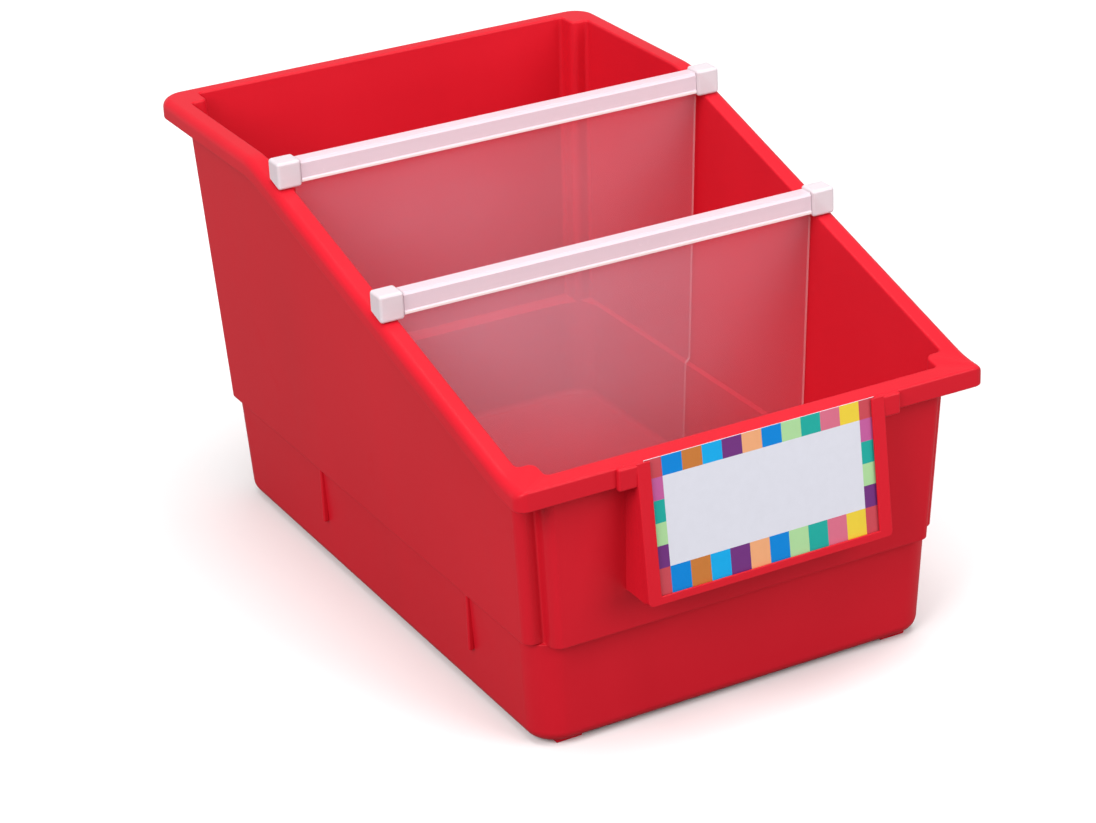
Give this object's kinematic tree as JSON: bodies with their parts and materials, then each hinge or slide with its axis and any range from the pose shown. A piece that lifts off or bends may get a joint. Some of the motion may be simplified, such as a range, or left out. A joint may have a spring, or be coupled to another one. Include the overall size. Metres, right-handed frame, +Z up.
{
  "type": "art supply bin",
  "caption": "Open moulded supply bin with a raked rim, stepped body, corner pillars, a front label card holder and lift-out clear dividers.",
  "frame": {"origin": "centre of the bin's overall footprint, on the surface its feet stand on", "axes": "+X to the bin's right seen from its front, -Y out of the label holder, +Y to the tall back, +Z up"},
  "size_m": [0.2222, 0.3429, 0.1968],
  "materials": {
    "red_plastic": "satin moulded",
    "printed_card": "smooth printed card",
    "clear_sheet": "clear, lightly frosted",
    "clear_rail": "milky clear, glossy",
    "clear_cap": "milky clear, glossy"
  },
  "bodies": {
    "tub": {"tub": "red_plastic"},
    "label_card": {"label_card": "printed_card"},
    "rear_divider": {"rear_divider_sheet": "clear_sheet", "rear_divider_rail": "clear_rail", "rear_left_end_cap": "clear_cap", "rear_right_end_cap": "clear_cap"},
    "front_divider": {"front_divider_sheet": "clear_sheet", "front_divider_rail": "clear_rail", "front_left_end_cap": "clear_cap", "front_right_end_cap": "clear_cap"}
  },
  "joints": [
    {"name": "rear_divider_lift", "type": "slide", "parent": "tub", "child": "rear_divider", "axis": [0, 0, 1], "range_m": [0, 0.19]},
    {"name": "front_divider_lift", "type": "slide", "parent": "tub", "child": "front_divider", "axis": [0, 0, 1], "range_m": [0, 0.16]},
    {"name": "label_card_slide", "type": "slide", "parent": "tub", "child": "label_card", "axis": [0, 0.1103, 0.9939], "range_m": [0, 0.066]}
  ]
}
